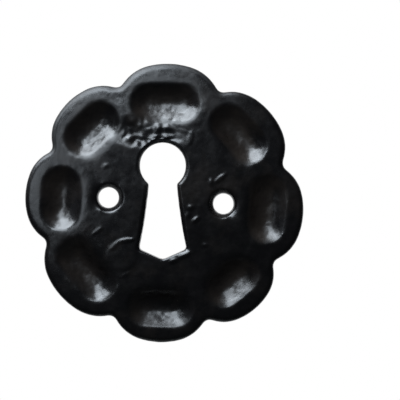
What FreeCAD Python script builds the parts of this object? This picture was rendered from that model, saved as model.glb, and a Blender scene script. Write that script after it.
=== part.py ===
"""Keyhole escutcheon: a cast-iron rosette of eight hollowed petals, with a keyhole and two screw holes.

Millimetres. The plate stands as it is fixed: its flat back lies in the plane Y = 0 against the door
or drawer front, its gently domed face looks along -Y, and the keyhole's round end is up, towards +Z.
The origin is on the back, midway between the two screw holes.
The plate is drawn lying on its back, with its face up, and is turned upright at the end.
"""

import FreeCAD
import Part
import math
import os

from FreeCAD import Vector

# Outline of the rosette
OVERALL_DIAMETER = 50.0  # across the tips of opposite petals
VALLEY_DEPTH = 3.1  # from the petals' tips in to a valley's root, before it is rounded
PETAL_COUNT = 8
RING_TURN = -3.6  # degrees, the petals stand a little turned against the upright keyhole
PETAL_WANDER = (-1.4, -0.4, 2.6, 0.6, -0.9, 1.6, 1.1, -2.4)  # degrees, hand-laid valleys
PETAL_CROWN_SHARE = 1.335  # the flat arc at a petal's tip, against one arc from valley to valley
PETAL_SHOULDER_SHARE = 0.75  # the tighter arcs at its two sides, against the same
VALLEY_ROUND = 1.3

# Section of the plate
THICKNESS = 5.0  # at the middle, where the domed face is highest
DOME_RADIUS = 125.0
RIM_EDGE_BREAK = 0.6
BACK_EDGE_BREAK = 0.3

# Hollow in each petal
RIM_WIDTH = 3.0  # from a petal's tip to its hollow
HOLLOW_WIDTH = 7.3  # across the hollow, along the plate's radius
HOLLOW_WALL_SLOPE = 33.0  # degrees, between the hollow's straight walls and the face
HOLLOW_FLOOR_ROUND = 3.0  # radius of the floor between the walls
RIB_WIDTH = 2.6  # the land between two hollows
RIM_WANDER = (0.3, 0.5, -0.1, -0.1, 0.0, -0.4, -0.1, 0.0)  # each petal's rim, against RIM_WIDTH
HOLLOW_WANDER = (2.2, 2.0, 1.5, 1.2, -1.2, 0.0, 0.0, 2.0)  # degrees, against its petal's middle

# Keyhole, from the plate's centre
KEYHOLE_SHIFT_X = -0.3
KEY_BORE_HEIGHT = 6.7  # centre of the round end above the plate's centre
KEY_BORE_RADIUS = 4.1
KEY_NECK_WIDTH = 4.95
KEY_FOOT_WIDTH = 8.4
KEY_FOOT_HEIGHT = -8.2  # the two lower corners
KEY_TIP_HEIGHT = -10.1  # the blunt point between them
KEY_FLANK_BOW = 0.2  # the slot's sides curve in by this much
KEY_NECK_ROUND = 0.35
KEY_FOOT_ROUND = 0.5
KEY_TIP_ROUND = 1.4
KEY_EDGE_BREAK = 0.15

# Screw holes
SCREW_SPACING = 20.6
SCREW_LINE_TURN = -3.1  # degrees, the pair is turned with the petals
SCREW_MIDPOINT = Vector(0.28, 0.42, 0)  # from the plate's centre
SCREW_HOLE_RADIUS = 1.82
SCREW_SINK_WIDTH = 0.75  # the countersink, all round the hole
SCREW_SINK_SLOPE = 60.0  # degrees, between its wall and the face

# Cutters stand past the faces by this much
CUTTER_MARGIN = 3.0

# Points and edges that lie closer than this to each other touch
TOUCH = 0.001

# The face's side, while the plate lies on its back
UP = Vector(0, 0, 1)


def polar(radius, bearing, centre=Vector(0, 0, 0)):
    """The point at a distance and a bearing in degrees from a centre, in the plate's plane."""
    angle = math.radians(bearing)
    return centre + Vector(radius * math.cos(angle), radius * math.sin(angle), 0)


def towards(start, end, distance):
    """The point that lies a distance from start on the way to end."""
    return start + (end - start).normalize() * distance


def valley_bearing(index):
    """Where the valley before petal number index lies, in degrees from +X."""
    pitch = 360.0 / PETAL_COUNT
    return RING_TURN + (index + 0.5) * pitch + PETAL_WANDER[index % len(PETAL_WANDER)]


def petal_span(index):
    """The bearing of a petal's middle and half the angle that it fills, in degrees."""
    first = valley_bearing(index)
    last = valley_bearing(index + 1)
    return (first + last) / 2, (last - first) / 2


def petal_arcs(index):
    """A petal's crown arc and its two shoulder arcs, which run into it, each as centre and radius."""
    middle, half_span = petal_span(index)
    tip = polar(OVERALL_DIAMETER / 2, middle)
    valleys = [polar(OVERALL_DIAMETER / 2 - VALLEY_DEPTH, middle + side * half_span) for side in (-1, 1)]
    foot = (valleys[0] + valleys[1]) / 2
    height = tip.distanceToPoint(foot)
    one_arc = (height**2 + foot.distanceToPoint(valleys[1]) ** 2) / (2 * height)
    crown_radius = PETAL_CROWN_SHARE * one_arc
    shoulder_radius = PETAL_SHOULDER_SHARE * one_arc
    crown = towards(tip, foot, crown_radius)
    step = crown_radius - shoulder_radius
    shoulders = []
    for side, valley in zip((-1, 1), valleys):
        spoke = valley - crown
        reach = spoke.Length
        swing = math.acos((step**2 + reach**2 - shoulder_radius**2) / (2 * step * reach))
        bearing = math.degrees(math.atan2(spoke.y, spoke.x) - side * swing)
        shoulders.append((polar(step, bearing, crown), shoulder_radius))
    return (crown, crown_radius), shoulders[0], shoulders[1]


def valley_arc(left, right):
    """The concave arc that runs between two petals' shoulder arcs: its ends and its middle."""
    reaches = [radius + VALLEY_ROUND for _, radius in (left, right)]
    across = right[0] - left[0]
    span = across.Length
    along = (span**2 + reaches[0] ** 2 - reaches[1] ** 2) / (2 * span)
    foot = towards(left[0], right[0], along)
    out = Vector(across.y, -across.x, 0)
    if out.dot(foot) < 0:
        out = -out
    centre = foot + out.normalize() * math.sqrt(reaches[0] ** 2 - along**2)
    first = towards(left[0], centre, left[1])
    last = towards(right[0], centre, right[1])
    return first, towards(centre, (first + last) / 2, VALLEY_ROUND), last


def outline_face():
    """The rosette's outline: for each petal shoulder, crown and shoulder, and then a valley."""
    petals = [petal_arcs(index) for index in range(PETAL_COUNT)]
    valleys = [valley_arc(petals[index - 1][2], petals[index][1]) for index in range(PETAL_COUNT)]
    edges = []
    for index, (crown, first, last) in enumerate(petals):
        joins = [towards(crown[0], shoulder[0], crown[1]) for shoulder in (first, last)]
        start = valleys[index][2]
        end = valleys[(index + 1) % PETAL_COUNT][0]
        for ends, (centre, radius) in (
            ((start, joins[0]), first),
            (joins, crown),
            ((joins[1], end), last),
        ):
            half_way = towards(centre, (ends[0] + ends[1]) / 2, radius)
            edges.append(Part.Arc(ends[0], half_way, ends[1]).toShape())
        edges.append(Part.Arc(*valleys[index]).toShape())
    return Part.Face(Part.Wire(Part.__sortEdges__(edges)))


def upright_edges_at(solid, points):
    """The solid's edges along Z that pass over any of the given points of the plane."""
    found = []
    for edge in solid.Edges:
        first, last = edge.Vertexes[0].Point, edge.Vertexes[-1].Point
        foot = Vector(first.x, first.y, 0)
        upright = foot.distanceToPoint(Vector(last.x, last.y, 0)) < TOUCH
        if upright and any(foot.distanceToPoint(point) < TOUCH for point in points):
            found.append(edge)
    return found


def face_height(distance):
    """How high the domed face stands over the back, at a distance from the plate's centre."""
    return THICKNESS - DOME_RADIUS + math.sqrt(DOME_RADIUS**2 - distance**2)


def dome():
    """The ball whose top is the plate's face. Its seam lies on its far side."""
    return Part.makeSphere(DOME_RADIUS, UP * (THICKNESS - DOME_RADIUS), Vector(-1, 0, 0))


def edges_on_face(solid, form):
    """The solid's edges where the walls of a form meet the plate's domed face."""
    ball = dome().Shells[0]
    walls = form.Shells[0]
    found = []
    for edge in solid.Edges:
        middle = Part.Vertex(edge.valueAt((edge.FirstParameter + edge.LastParameter) / 2))
        if ball.distToShape(middle)[0] < TOUCH and walls.distToShape(middle)[0] < TOUCH:
            found.append(edge)
    return found


def rosette_blank():
    """The petalled disc under its domed face, with its two edges broken."""
    prism = outline_face().extrude(UP * THICKNESS)
    blank = prism.common(dome()).Solids[0]
    blank = blank.makeChamfer(RIM_EDGE_BREAK, edges_on_face(blank, prism))
    back_edges = [edge for edge in blank.Edges if edge.BoundBox.ZMax < BACK_EDGE_BREAK]
    return blank.makeChamfer(BACK_EDGE_BREAK, back_edges).Solids[0]


def hollow_profile(mouth):
    """Half the hollow's section as an upright face: the round floor, one wall and the room above."""
    slope = math.radians(HOLLOW_WALL_SLOPE)
    lip = mouth + Vector(HOLLOW_WIDTH / 2, 0, 0)
    crest = lip + Vector(math.cos(slope), 0, math.sin(slope)) * CUTTER_MARGIN
    depth = HOLLOW_WIDTH / 2 * math.tan(slope) - HOLLOW_FLOOR_ROUND * (1 / math.cos(slope) - 1)
    floor = mouth - UP * depth
    round_centre = floor + UP * HOLLOW_FLOOR_ROUND
    wall_foot = round_centre + Vector(math.sin(slope), 0, -math.cos(slope)) * HOLLOW_FLOOR_ROUND
    round_middle = towards(round_centre, (floor + wall_foot) / 2, HOLLOW_FLOOR_ROUND)
    round_floor = Part.Arc(floor, round_middle, wall_foot).toShape()
    rest = Part.makePolygon([wall_foot, crest, Vector(mouth.x, mouth.y, crest.z), floor])
    return Part.Face(Part.Wire([round_floor] + rest.Edges))


def hollow_cutter(index):
    """The form that scoops the hollow out of one petal, square on the domed face."""
    middle, half_span = petal_span(index)
    half_width = HOLLOW_WIDTH / 2
    rim_width = RIM_WIDTH + RIM_WANDER[index % len(RIM_WANDER)]
    distance = OVERALL_DIAMETER / 2 - rim_width - half_width
    half = math.radians(half_span)
    half_length = distance * math.tan(half) - RIB_WIDTH / 2 / math.cos(half)
    half_straight = half_length - half_width
    ends = [Vector(0, side * half_straight, 0) for side in (-1, 1)]
    outer = hollow_profile(ends[0]).extrude(ends[1] - ends[0])
    inner = outer.mirror(ends[0], Vector(1, 0, 0))
    caps = [hollow_profile(end).revolve(end, UP, side * 180) for side, end in zip((-1, 1), ends)]
    cutter = outer.fuse([inner] + caps).removeSplitter()
    lean = math.degrees(math.asin(distance / DOME_RADIUS))
    cutter.rotate(Vector(0, 0, 0), Vector(0, 1, 0), lean)
    cutter.translate(Vector(distance, 0, face_height(distance)))
    cutter.rotate(Vector(0, 0, 0), UP, middle + HOLLOW_WANDER[index % len(HOLLOW_WANDER)])
    return cutter.Solids[0]


def keyhole_cutter():
    """The keyhole's prism: a round end over a slot that flares to a blunt point."""
    half_neck = KEY_NECK_WIDTH / 2
    half_foot = KEY_FOOT_WIDTH / 2
    neck_height = KEY_BORE_HEIGHT - math.sqrt(KEY_BORE_RADIUS**2 - half_neck**2)
    bore_top = Vector(0, KEY_BORE_HEIGHT + KEY_BORE_RADIUS, 0)
    necks = [Vector(side * half_neck, neck_height, 0) for side in (-1, 1)]
    feet = [Vector(side * half_foot, KEY_FOOT_HEIGHT, 0) for side in (-1, 1)]
    tip = Vector(0, KEY_TIP_HEIGHT, 0)
    edges = [Part.Arc(necks[0], bore_top, necks[1]).toShape()]
    for side, neck, foot in zip((-1, 1), necks, feet):
        bowed = (neck + foot) / 2 - Vector(side * KEY_FLANK_BOW, 0, 0)
        edges.append(Part.Arc(neck, bowed, foot).toShape())
        edges.append(Part.LineSegment(foot, tip).toShape())
    wire = Part.Wire(Part.__sortEdges__(edges))
    prism = Part.Face(wire).extrude(Vector(0, 0, THICKNESS + 2 * CUTTER_MARGIN))
    for radius, corners in ((KEY_NECK_ROUND, necks), (KEY_FOOT_ROUND, feet), (KEY_TIP_ROUND, [tip])):
        prism = prism.makeFillet(radius, upright_edges_at(prism, corners))
    prism.translate(Vector(KEYHOLE_SHIFT_X, 0, -CUTTER_MARGIN))
    return prism


def screw_centres():
    """The middles of the two screw holes, in the plate's plane."""
    return [polar(side * SCREW_SPACING / 2, SCREW_LINE_TURN, SCREW_MIDPOINT) for side in (-1, 1)]


def screw_cutter(centre):
    """The hole for one screw, countersunk from the face."""
    height = THICKNESS + 2 * CUTTER_MARGIN
    hole = Part.makeCylinder(SCREW_HOLE_RADIUS, height, centre - UP * CUTTER_MARGIN)
    rise = math.tan(math.radians(SCREW_SINK_SLOPE))
    depth = SCREW_SINK_WIDTH * rise
    mouth_radius = SCREW_HOLE_RADIUS + SCREW_SINK_WIDTH + CUTTER_MARGIN / rise
    foot = centre + UP * (face_height(centre.Length) - depth)
    sink = Part.makeCone(SCREW_HOLE_RADIUS, mouth_radius, depth + CUTTER_MARGIN, foot)
    return hole.fuse(sink).Solids[0]


def escutcheon_plate():
    """The finished casting, turned upright with its origin midway between the screws."""
    plate = rosette_blank()
    plate = plate.cut([hollow_cutter(index) for index in range(PETAL_COUNT)])
    keyhole = keyhole_cutter()
    screws = [screw_cutter(centre) for centre in screw_centres()]
    plate = plate.cut([keyhole] + screws)
    plate = plate.makeChamfer(KEY_EDGE_BREAK, edges_on_face(plate, keyhole)).Solids[0]
    plate.translate(-SCREW_MIDPOINT)
    plate.rotate(Vector(0, 0, 0), Vector(1, 0, 0), 90)
    return plate


def main():
    os.makedirs("parts", exist_ok=True)
    plate = escutcheon_plate()
    plate.exportStep("parts/escutcheon_plate.step")
    print("escutcheon_plate", plate.ShapeType, plate.isValid(), round(plate.Volume, 1), "mm3")


main()
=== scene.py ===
import math

import bpy
from mathutils import Matrix, Vector


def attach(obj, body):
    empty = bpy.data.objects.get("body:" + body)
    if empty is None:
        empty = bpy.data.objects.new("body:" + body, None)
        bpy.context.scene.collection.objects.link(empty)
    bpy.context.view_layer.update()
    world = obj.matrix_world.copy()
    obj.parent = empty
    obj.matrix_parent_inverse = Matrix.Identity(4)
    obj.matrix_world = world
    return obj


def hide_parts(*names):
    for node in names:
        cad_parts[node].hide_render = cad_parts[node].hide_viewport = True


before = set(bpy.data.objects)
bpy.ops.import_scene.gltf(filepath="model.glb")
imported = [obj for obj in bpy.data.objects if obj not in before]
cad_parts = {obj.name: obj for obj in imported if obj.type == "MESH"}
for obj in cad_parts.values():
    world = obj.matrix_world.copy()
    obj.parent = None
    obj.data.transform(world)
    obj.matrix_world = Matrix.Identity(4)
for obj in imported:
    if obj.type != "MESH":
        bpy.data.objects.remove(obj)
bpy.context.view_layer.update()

mm = 0.001


# a socket that can stand in a sum; every sum adds its Math nodes
class Wire:
    def __init__(self, bench, socket):
        self.bench = bench
        self.socket = socket

    def maths(self, operation, first, second):
        return self.bench.add("ShaderNodeMath", {"operation": operation}, {0: first, 1: second})

    def __add__(self, other):
        return self.maths("ADD", self, other)

    def __radd__(self, other):
        return self.maths("ADD", other, self)

    def __sub__(self, other):
        return self.maths("SUBTRACT", self, other)

    def __rsub__(self, other):
        return self.maths("SUBTRACT", other, self)

    def __mul__(self, other):
        return self.maths("MULTIPLY", self, other)

    def __rmul__(self, other):
        return self.maths("MULTIPLY", other, self)

    def least(self, other):
        return self.maths("MINIMUM", self, other)

    def most(self, other):
        return self.maths("MAXIMUM", self, other)

    def clamped(self):
        return self.least(1.0).most(0.0)


# one node tree, and the one way in which nodes are added to it
class Bench:
    def __init__(self, tree):
        self.tree = tree
        tree.nodes.clear()

    def add(self, kind, settings=None, inputs=None, output=0):
        node = self.tree.nodes.new(kind)
        for name, value in (settings or {}).items():
            setattr(node, name, value)
        for name, value in (inputs or {}).items():
            if isinstance(value, Wire):
                self.tree.links.new(value.socket, node.inputs[name])
            else:
                node.inputs[name].default_value = value
        return Wire(self, node.outputs[output]) if len(node.outputs) > 0 else None


def newMaterial(name):
    material = bpy.data.materials.new(name)
    material.use_nodes = True
    return material, Bench(material.node_tree)


def deselectAll():
    bpy.ops.object.select_all(action="DESELECT")


def makeActive(obj):
    deselectAll()
    obj.select_set(True)
    bpy.context.view_layer.objects.active = obj


def applyModifier(obj, kind, **settings):
    makeActive(obj)
    modifier = obj.modifiers.new(kind.lower(), kind)
    for name, value in settings.items():
        setattr(modifier, name, value)
    bpy.ops.object.modifier_apply(modifier=modifier.name)


def copyOfNode(node, name):
    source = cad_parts[node]
    piece = bpy.data.objects.new(name, source.data.copy())
    bpy.context.scene.collection.objects.link(piece)
    makeActive(piece)
    bpy.ops.object.mode_set(mode="EDIT")
    bpy.ops.mesh.select_all(action="SELECT")
    bpy.ops.mesh.remove_doubles(threshold=0.001 * mm)
    bpy.ops.object.mode_set(mode="OBJECT")
    return piece


def smoothStep(low, high, value):
    part = min(1.0, max(0.0, (value - low) / (high - low)))
    return part * part * (3 - 2 * part)


# one vertex group; weigh gives each vertex's weight from its place, in millimetres, and its normal
def weighGroup(obj, name, weigh):
    group = obj.vertex_groups.new(name=name)
    for vertex in obj.data.vertices:
        weight = weigh(vertex.co / mm, vertex.normal)
        if weight > 0.002:
            group.add([vertex.index], min(1.0, weight), "REPLACE")
    return group.name


# one attribute for the iron to read, worked out in the same way
def paint(obj, name, shade):
    values = obj.data.attributes.new(name, "FLOAT", "POINT").data
    for vertex in obj.data.vertices:
        values[vertex.index].value = shade(vertex.co / mm, vertex.normal)


def soften(obj, rounds, group=""):
    applyModifier(obj, "SMOOTH", factor=0.5, iterations=rounds, vertex_group=group)


def pushBack(obj, depth, group):
    applyModifier(
        obj,
        "DISPLACE",
        direction="Y",
        strength=depth * mm,
        mid_level=0.0,
        vertex_group=group,
    )


def roughen(obj, texture, depth, group):
    applyModifier(
        obj,
        "DISPLACE",
        texture=texture,
        texture_coords="LOCAL",
        strength=depth * mm,
        mid_level=1.0,  # so that it only goes in
        vertex_group=group,
    )


# Millimetres and degrees from here on. A pair under height, reach, x or z is where a fade starts
# and where it ends; heights are over the flat back, and a reach of 1 is a hollow's lip.
casting = {
    "middle": (-0.28, -0.42),  # the rosette's middle, in x and z
    "voxel": 0.235,
    "edgeRounds": 4,  # rounds of smoothing on every edge
    "face": {"rounds": 14, "height": (0.25, 0.9)},
    "creases": {"rounds": 45, "reach": (0.55, 0.9)},
}

# the ring where the hollows run out softly into the field, with a firmer lip over the keyhole
innerLips = {
    "rounds": 110,
    "ringStart": (11.5, 12.5),
    "ringEnd": (15.0, 17.5),
    "height": (1.2, 1.8),
    "firmX": (-2, 1),
    "firmZ": (9, 11),
    "firm": 0.8,
}

openings = {
    "screws": ((-10.285, 0.557), (10.285, -0.557)),
    "screwEdge": 2.9,  # radius of the ground round a screw hole that keeps its edge
    "bore": (-0.58, 6.28, 4.1),  # x, z and radius of the keyhole's round end
    "neck": (2.475, 3.01),  # the slot's corners, from the keyhole's middle line
    "foot": (4.2, -8.62),
    "tip": (0.0, -10.52),
    "keyholeEdge": 0.9,
    "kept": 0.85,  # how much of the face's softening those edges are spared
}

# the keyhole's edge rolls in, but for the slot's lower end
roll = {"width": 0.6, "depth": 0.45, "height": (2.5, 3.5), "z": (-9.5, -8.0)}

# the eight hollows: bearing in degrees, distance of the middle, half length
hollows = (
    (42.7, 18.05, 6.25),
    (89.5, 17.85, 6.5),
    (134.5, 18.45, 5.85),
    (177.4, 18.45, 5.95),
    (220.6, 18.35, 6.65),
    (267.8, 18.75, 6.25),
    (310.8, 18.45, 5.6),
    (356.5, 18.35, 6.4),
)
hollowHalfWidth = 3.8

# how much deeper a hollow is at its middle, and, for the upper ones, how far that place lies off
# the crease towards the rim, as a share of the half width
bow = {"depth": 0.40, "shift": 0.35, "height": (0.7, 1.4)}


def fromMiddle(point):
    return Vector((point.x - casting["middle"][0], point.z - casting["middle"][1]))


# how far a point lies outside the keyhole, less than 0 inside
def keyholeGap(point):
    boreX, boreZ, radius = openings["bore"]
    place = Vector((abs(point.x - boreX), point.z))
    neck, foot, tip = (Vector(openings[corner]) for corner in ("neck", "foot", "tip"))
    slot = place.y - neck.y
    for start, end in ((neck, foot), (foot, tip)):
        outward = Vector((start.y - end.y, end.x - start.x)).normalized()
        slot = max(slot, (place - start).dot(outward))
    return min(slot, math.hypot(place.x, place.y - boreZ) - radius)


def nearOpening(point):
    if keyholeGap(point) < openings["keyholeEdge"]:
        return True
    reach = openings["screwEdge"]
    return any(math.hypot(point.x - x, point.z - z) < reach for x, z in openings["screws"])


# the nearest hollow, and a point's place in it: across and along in millimetres, and its reach,
# which is 0 on the crease and 1 at the lip
def hollowPlace(point):
    place = fromMiddle(point)
    nearest = (0.0, 0.0, 9.0, hollows[0])
    for hollow in hollows:
        bearing, distance, halfLength = hollow
        angle = math.radians(bearing)
        outward = Vector((math.cos(angle), math.sin(angle)))
        across = place.dot(outward) - distance
        along = place.y * outward.x - place.x * outward.y
        pastCrease = max(0.0, abs(along) - halfLength + hollowHalfWidth)
        reach = math.hypot(across, pastCrease) / hollowHalfWidth
        if reach < nearest[2]:
            nearest = (across, along, reach, hollow)
    return nearest


def hollowReach(point):
    return hollowPlace(point)[2]


def faceWeight(point, normal):
    kept = openings["kept"] if nearOpening(point) else 0.0
    return smoothStep(*casting["face"]["height"], -point.y) * (1 - kept)


def innerLipWeight(point, normal):
    away = fromMiddle(point).length
    ring = smoothStep(*innerLips["ringStart"], away)
    ring = ring * (1 - smoothStep(*innerLips["ringEnd"], away))
    firm = smoothStep(*innerLips["firmZ"], point.z) * smoothStep(*innerLips["firmX"], point.x)
    return ring * (1 - innerLips["firm"] * firm) * smoothStep(*innerLips["height"], -point.y)


def rollWeight(point, normal):
    edge = 1 - smoothStep(0.0, roll["width"], keyholeGap(point))
    return edge * smoothStep(*roll["height"], -point.y) * smoothStep(*roll["z"], point.z)


def creaseWeight(point, normal):
    return 1 - smoothStep(*casting["creases"]["reach"], hollowReach(point))


def bowWeight(point, normal):
    across, along, reach, (bearing, distance, halfLength) = hollowPlace(point)
    if reach > 1.0:
        return 0.0
    shift = bow["shift"] * max(0.0, math.sin(math.radians(bearing)))
    share = across / hollowHalfWidth - shift
    share = share / (1 - shift) if share > 0 else share / (1 + shift)
    middle = (1 - share**2) ** 2 * (1 - (along / halfLength) ** 2) ** 2
    return max(0.0, middle) * smoothStep(*bow["height"], -point.y)


# how far the field lies under its raised marks, and how much of that is gone at the rim
sink = {"depth": 0.20, "height": (1.5, 3.0), "outer": (9, 19), "outerLess": 0.75}

# raised marks: x, z, half length, half width, turn in degrees, share of the sink that is left out
marks = (
    (-7.9, -9.8, 2.75, 2.6, 0, 0.55),
    (-9.2, -8.1, 1.2, 0.4, 45, 1.0),
    (-7.2, -7.1, 1.5, 0.4, 8, 1.0),
    (-4.9, 13.35, 0.75, 0.5, 25, 1.0),
    (-6.1, 11.5, 1.1, 0.5, 12, 1.0),
    (-4.2, 11.3, 0.7, 0.45, -20, 1.0),
    (-2.1, 11.35, 0.9, 0.6, 30, 1.0),
    (-0.5, 13.2, 0.45, 0.35, 0, 0.9),
    (4.4, 11.3, 0.5, 1.2, -10, 0.6),
    (8.1, 3.3, 0.35, 0.6, 10, 0.8),
    (9.7, 4.0, 1.3, 0.4, 38, 0.7),
    (4.4, -1.2, 0.5, 0.4, 0, 0.9),
    (5.3, -3.4, 0.7, 0.35, 40, 1.0),
    (3.9, -2.6, 0.35, 0.5, 0, 0.8),
    (7.0, -7.9, 0.4, 0.3, 0, 0.8),
    (-10.8, 6.2, 0.5, 0.35, 30, 0.7),
    (-12.2, -5.4, 1.0, 0.35, 35, 0.6),
    (3.3, -9.75, 1.1, 0.4, 25, 1.0),
    (1.4, -10.7, 0.8, 0.35, 20, 0.9),
    (-7.2, -13.2, 0.9, 0.3, 30, 0.6),
)
markEdge = 0.45  # how wide a mark's edge is


def markHeight(x, z):
    height = 0.0
    for markX, markZ, halfLength, halfWidth, turn, share in marks:
        angle = math.radians(turn)
        along = (x - markX) * math.cos(angle) + (z - markZ) * math.sin(angle)
        across = (z - markZ) * math.cos(angle) - (x - markX) * math.sin(angle)
        reach = math.hypot(along / halfLength, across / halfWidth)
        edge = markEdge / max(halfLength, halfWidth)
        height = max(height, share * (1 - smoothStep(1 - edge, 1 + edge, reach)))
    return height


def sinkWeight(point, normal):
    field = 1 - sink["outerLess"] * smoothStep(*sink["outer"], fromMiddle(point).length)
    return field * (1 - markHeight(point.x, point.z)) * smoothStep(*sink["height"], -point.y)


# the rough, chipped ground over the keyhole, weaker on the right
roughPatch = {
    "middle": (-2.0, 12.4),
    "half": (7.6, 2.8),
    "end": (0.5, 1.25),
    "x": (0, 4),
    "rightLess": 0.7,
    "grain": 1.7,
    "contrast": 1.6,
    "depth": 0.62,
    "rounds": 5,
}

# the sand's waves, as grain and depth, strongest in the hollows
skin = {
    "waves": ((2.6, 0.20), (1.1, 0.11), (0.5, 0.03)),
    "height": (0.25, 0.9),
    "reach": (0.3, 1.0),
    "field": 0.42,
    "rim": (20.5, 22),
    "rimLess": 0.18,
}


# blobs with creases between them
def chipTexture():
    texture = bpy.data.textures.new("chips", "VORONOI")
    texture.noise_scale = roughPatch["grain"] * mm
    texture.weight_1 = -1.0
    texture.weight_2 = 1.0
    texture.noise_intensity = roughPatch["contrast"]
    return texture


def sandTexture(index, grain):
    texture = bpy.data.textures.new(f"sand{index}", "CLOUDS")
    texture.noise_scale = grain * mm
    texture.noise_depth = 2
    return texture


def patchWeight(point, normal):
    (middleX, middleZ), (halfX, halfZ) = roughPatch["middle"], roughPatch["half"]
    reach = math.hypot((point.x - middleX) / halfX, (point.z - middleZ) / halfZ)
    fade = 1 - roughPatch["rightLess"] * smoothStep(*roughPatch["x"], point.x)
    facing = smoothStep(0.2, 0.6, -normal.y)  # keeps off the keyhole's walls
    return fade * (1 - smoothStep(*roughPatch["end"], reach)) * facing


def skinWeight(point, normal):
    inHollow = 1 - smoothStep(*skin["reach"], hollowReach(point))
    onRim = smoothStep(*skin["rim"], fromMiddle(point).length)
    share = skin["field"] + (1 - skin["field"]) * inHollow - skin["rimLess"] * onRim
    return smoothStep(*skin["height"], -point.y) * share


# rust tint settles in the hollows, most on the right; it is mostly left off walls that face the
# left, a painted shade that keeps those walls dark and also less rough; edges are dull towards one
# side, the hollows' lips less than the plate's outer edge
wear = {
    "reach": (0.6, 1.05),
    "x": (4, 16),
    "left": 0.4,
    "leftWallShade": 0.8,
    "leftWallTilt": (0.15, 0.5),
    "dullTurn": 112,  # round the view line from +X
    "dullSide": (0.3, 0.95),
    "rimReach": (1.1, 1.5),
    "rimTilt": (0.8, 0.97),
    "lipStart": (0.75, 0.95),
    "lipEnd": (1.05, 1.3),
    "lip": 0.4,
}


def rustAndShadeShare(point, normal):
    side = wear["left"] + (1 - wear["left"]) * smoothStep(*wear["x"], point.x)
    inHollow = 1 - smoothStep(*wear["reach"], hollowReach(point))
    # painted shade: walls that face the left lose most of their brown, so they stay dark
    leftWallShade = wear["leftWallShade"] * smoothStep(*wear["leftWallTilt"], -normal.x)
    return side * inHollow * (1 - leftWallShade)


def edgeShade(point, normal):
    outward = fromMiddle(point).normalized()
    turn = math.radians(wear["dullTurn"])
    dull = smoothStep(*wear["dullSide"], outward.x * math.cos(turn) + outward.y * math.sin(turn))
    reach = hollowReach(point)
    rim = smoothStep(*wear["rimReach"], reach) * (1 - smoothStep(*wear["rimTilt"], -normal.y))
    lip = smoothStep(*wear["lipStart"], reach) * (1 - smoothStep(*wear["lipEnd"], reach))
    return dull * max(rim, wear["lip"] * lip)


def makePlate():
    plate = copyOfNode("escutcheon_plate", "iron_escutcheon")
    size = casting["voxel"] * mm
    applyModifier(plate, "REMESH", mode="VOXEL", voxel_size=size, adaptivity=0.0)
    soften(plate, casting["edgeRounds"])
    soften(plate, casting["face"]["rounds"], weighGroup(plate, "soft", faceWeight))
    soften(plate, innerLips["rounds"], weighGroup(plate, "inner_lips", innerLipWeight))
    pushBack(plate, roll["depth"], weighGroup(plate, "roll", rollWeight))
    soften(plate, casting["creases"]["rounds"], weighGroup(plate, "creases", creaseWeight))
    pushBack(plate, bow["depth"], weighGroup(plate, "bow", bowWeight))
    paint(plate, "rust_and_shade", rustAndShadeShare)
    paint(plate, "edges", edgeShade)
    pushBack(plate, sink["depth"], weighGroup(plate, "sunk", sinkWeight))
    patch = weighGroup(plate, "rough_patch", patchWeight)
    roughen(plate, chipTexture(), roughPatch["depth"], patch)
    soften(plate, roughPatch["rounds"], patch)
    everywhere = weighGroup(plate, "skin", skinWeight)
    for index, (grain, depth) in enumerate(skin["waves"]):
        roughen(plate, sandTexture(index, grain), depth, everywhere)
    makeActive(plate)
    bpy.ops.object.shade_smooth()
    plate.vertex_groups.clear()
    return plate


print("casting: remeshing and roughening the plate")
plate = makePlate()
print("casting:", len(plate.data.polygons), "faces")


# black iron, worn a little lighter in places and browned by rust, with the brown kept off walls
# that face the left as painted shade
iron = {
    "dark": (0.0016, 0.0015, 0.0019, 1.0),
    "worn": (0.0034, 0.0030, 0.0033, 1.0),
    "brown": (0.0150, 0.0122, 0.0104, 1.0),
    "patches": {"Scale": 130.0, "Detail": 4.0, "Roughness": 0.6},
    "mottle": {"Scale": 420.0, "Detail": 5.0, "Roughness": 0.65},
    "grain": {"Scale": 900.0, "Detail": 6.0, "Roughness": 0.7},
    "wornFrom": 0.45,
    "wornSharp": 3.0,
    "rustFrom": 0.5,
    "rustSharp": 2.0,
    "specular": 0.62,
    "tint": (0.82, 0.91, 1.0, 1.0),
    "roughLow": 0.22,
    "roughHigh": 0.32,
    "roughFrom": 0.3,
    "roughSharp": 2.5,
    "rustRough": 0.08,
    "edgeRough": 0.3,
    "grainHeight": 0.6,
    "mottleHeight": 0.9,
    "bump": 0.18,
    "bumpDistance": 0.12,
}


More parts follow.
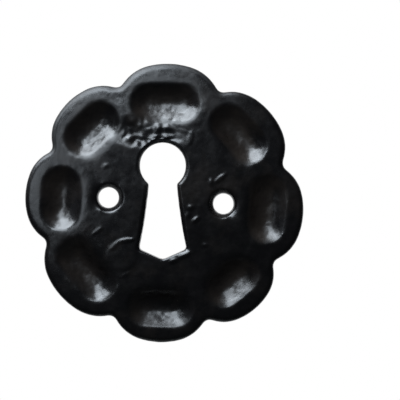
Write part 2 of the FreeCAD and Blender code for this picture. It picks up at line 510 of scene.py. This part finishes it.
def ironMaterial():
    material, bench = newMaterial("black_iron")
    place = bench.add("ShaderNodeTexCoord", output="Object")

    def cloud(name):
        return bench.add("ShaderNodeTexNoise", None, {"Vector": place, **iron[name]})

    def painted(name):
        return bench.add("ShaderNodeAttribute", {"attribute_name": name}, output="Fac")

    def blend(share, low, high):
        mix = {"Factor": share, 6: low, 7: high}
        return bench.add("ShaderNodeMix", {"data_type": "RGBA"}, mix, output=2)

    patches, mottle, grain = cloud("patches"), cloud("mottle"), cloud("grain")
    worn = ((mottle - iron["wornFrom"]) * iron["wornSharp"]).clamped()
    # brown from rust noise and from the painted attribute, which also holds painted shade: it is
    # low on walls that face the left
    rustAndShade = ((patches - iron["rustFrom"]) * iron["rustSharp"] + painted("rust_and_shade")).clamped()
    colour = blend(rustAndShade, blend(worn, iron["dark"], iron["worn"]), iron["brown"])
    spread = iron["roughHigh"] - iron["roughLow"]
    uneven = ((mottle - iron["roughFrom"]) * iron["roughSharp"]).clamped()
    roughness = iron["roughLow"] + spread * uneven
    roughness = roughness + rustAndShade * iron["rustRough"] + painted("edges") * iron["edgeRough"]
    height = grain * iron["grainHeight"] + mottle * iron["mottleHeight"]
    bump = {"Height": height, "Strength": iron["bump"], "Distance": iron["bumpDistance"] * mm}
    surface = {
        "Base Color": colour,
        "Roughness": roughness,
        "Metallic": 0.0,
        "Specular IOR Level": iron["specular"],
        "Specular Tint": iron["tint"],
        "Normal": bench.add("ShaderNodeBump", None, bump),
    }
    shader = bench.add("ShaderNodeBsdfPrincipled", None, surface)
    bench.add("ShaderNodeOutputMaterial", None, {"Surface": shader})
    return material


print("finish: black iron")
plate.data.materials.clear()
plate.data.materials.append(ironMaterial())
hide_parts("escutcheon_plate")
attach(plate, "root")


# the floor lies far under the plate and a little behind it, in metres
paleFloor = {
    "place": (0.0, 0.40, -1.0),
    "radius": 0.45,
    "corners": 96,
    "colour": (0.82, 0.82, 0.81, 1.0),
    "roughness": 0.9,
}


def makeFloor():
    deselectAll()
    bpy.ops.mesh.primitive_circle_add(
        vertices=paleFloor["corners"],
        radius=paleFloor["radius"],
        fill_type="NGON",
        location=paleFloor["place"],
    )
    floor = bpy.context.object
    floor.name = "floor"
    material, bench = newMaterial("pale_floor")
    surface = {"Base Color": paleFloor["colour"], "Roughness": paleFloor["roughness"]}
    paper = bench.add("ShaderNodeBsdfPrincipled", None, surface)
    bench.add("ShaderNodeOutputMaterial", None, {"Surface": paper})
    floor.data.materials.append(material)


# aim is in millimetres, in x and z, and the lamps' sizes and distances are in metres; turn is
# round the view line from +X, lean away from the view line
lamps = {
    "key": {
        "aim": (-0.28, -0.42),
        "turn": 112,
        "lean": 50,
        "distance": 0.5,
        "wide": 0.26,
        "long": 0.40,
        "spread": 180,
        "power": 2.7,
    },
    "top": {
        "aim": (-0.28, -0.42),
        "turn": 118,
        "lean": 82,
        "distance": 0.4,
        "wide": 0.42,
        "long": 0.24,
        "spread": 180,
        "power": 3.7,
    },
    # a small lamp near the left petals, its light kept off the right ones
    "left": {
        "aim": (-20.0, -0.42),
        "turn": 166,
        "lean": 28,
        "distance": 0.069,
        "wide": 0.03,
        "long": 0.034,
        "spread": 44,
        "power": 0.00048,
    },
}


def makeLamp(name):
    lamp = lamps[name]
    aim = Vector((lamp["aim"][0], 0.0, lamp["aim"][1])) * mm
    turn, lean = math.radians(lamp["turn"]), math.radians(lamp["lean"])
    steep = Vector(
        (math.cos(lean) * math.cos(turn), math.sin(lean), math.cos(lean) * math.sin(turn))
    )
    outward = Vector(
        (math.sin(lean) * math.cos(turn), -math.cos(lean), math.sin(lean) * math.sin(turn))
    )
    light = bpy.data.lights.new(name, "AREA")
    light.shape = "RECTANGLE"
    light.size = lamp["wide"]
    light.size_y = lamp["long"]
    light.spread = math.radians(lamp["spread"])
    light.energy = lamp["power"]
    box = bpy.data.objects.new(name, light)
    box.location = aim + outward * lamp["distance"]
    box.rotation_euler = Matrix((steep.cross(outward), steep, outward)).transposed().to_euler()
    bpy.context.scene.collection.objects.link(box)


# white to the camera, and in the iron where it mirrors what lies behind the plate
room = {"glossy": 0.04, "plain": 0.05, "behindFrom": 0.5, "behindSharp": 4.0}


def makeWorld():
    world = bpy.data.worlds.new("studio")
    world.use_nodes = True
    bpy.context.scene.world = world
    bench = Bench(world.node_tree)

    def ray(kind):
        return bench.add("ShaderNodeLightPath", output=kind)

    direct = ray("Is Camera Ray") + ray("Is Transmission Ray")
    glossy = ray("Is Glossy Ray")
    direction = bench.add("ShaderNodeTexCoord", output="Generated")
    depth = bench.add("ShaderNodeSeparateXYZ", None, {0: direction}, output="Y")
    behind = ((depth - room["behindFrom"]) * room["behindSharp"]).clamped()
    dim = glossy * room["glossy"] + (1.0 - glossy) * room["plain"]
    strength = (direct + glossy * behind).clamped().most(dim)
    background = {"Color": (1.0, 1.0, 1.0, 1.0), "Strength": strength}
    shader = bench.add("ShaderNodeBackground", None, background)
    bench.add("ShaderNodeOutputWorld", None, {"Surface": shader})


view = {
    "aim": (6.09, 0.118),  # x and z of the picture's middle
    "width": 71.45,  # across the picture, at the plate's face
    "faceDepth": 3.0,
    "distance": 700.0,
    "sensor": 36.0,
    "clip": (0.01, 10.0),
}


def makeCamera():
    camera = bpy.data.cameras.new("camera")
    camera.sensor_width = view["sensor"]
    camera.lens = view["sensor"] * (view["distance"] - view["faceDepth"]) / view["width"]
    camera.clip_start, camera.clip_end = view["clip"]
    eye = bpy.data.objects.new("camera", camera)
    eye.location = Vector((view["aim"][0], -view["distance"], view["aim"][1])) * mm
    eye.rotation_euler = (math.pi / 2, 0, 0)
    bpy.context.scene.collection.objects.link(eye)
    bpy.context.scene.camera = eye


print("studio: floor, lamps, world and camera")
makeFloor()
for lampName in lamps:
    makeLamp(lampName)
makeWorld()
makeCamera()
bpy.context.scene.view_settings.view_transform = "Standard"
